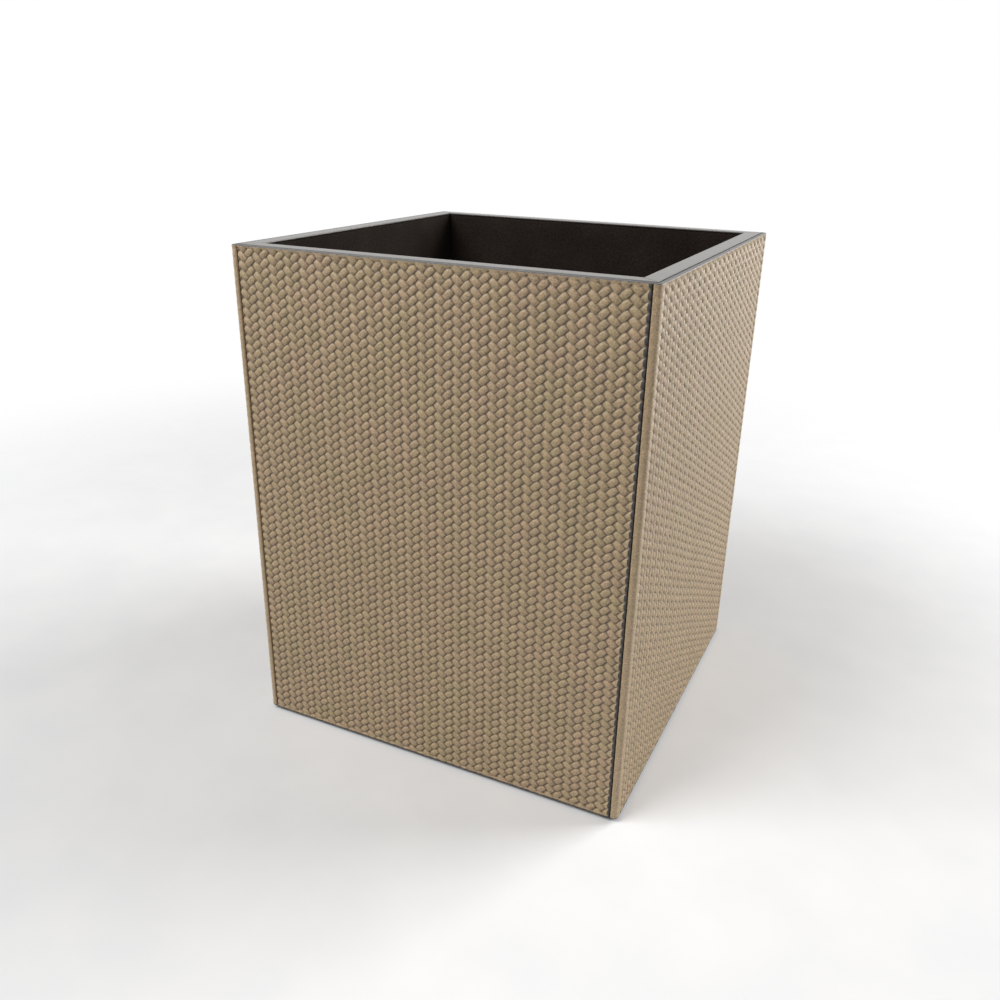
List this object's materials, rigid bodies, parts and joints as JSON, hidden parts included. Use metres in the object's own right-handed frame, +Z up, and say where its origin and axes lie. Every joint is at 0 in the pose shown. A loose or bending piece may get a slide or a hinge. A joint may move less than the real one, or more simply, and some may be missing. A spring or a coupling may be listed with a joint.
{
  "type": "wastebasket",
  "caption": "Square open-topped wastebasket: a fibreboard box covered outside with woven-look embossed tan leather and lined dark inside, with a smooth dark rim, standing on thin felt pads.",
  "frame": {"origin": "on the floor, under the centre of the basket", "axes": "+Z up, -Y out of the front panel, +X out of the right side"},
  "size_m": [0.25, 0.246, 0.31],
  "materials": {
    "fibreboard": "raw",
    "embossed_leather": "embossed, satin",
    "rim_leather": "smooth, semi-gloss",
    "lining": "suede",
    "underside_sheet": "matte",
    "felt": "felt"
  },
  "bodies": {
    "root": {"front_board": "fibreboard", "back_board": "fibreboard", "left_board": "fibreboard", "right_board": "fibreboard", "base_board": "fibreboard", "front_leather_panel": "embossed_leather", "back_leather_panel": "embossed_leather", "left_leather_panel": "embossed_leather", "right_leather_panel": "embossed_leather", "front_rim_strip": "rim_leather", "back_rim_strip": "rim_leather", "left_rim_strip": "rim_leather", "right_rim_strip": "rim_leather", "front_lining": "lining", "back_lining": "lining", "left_lining": "lining", "right_lining": "lining", "floor_lining": "lining", "underside_cover": "underside_sheet", "front_left_pad": "felt", "front_right_pad": "felt", "back_left_pad": "felt", "back_right_pad": "felt"}
  },
  "joints": []
}
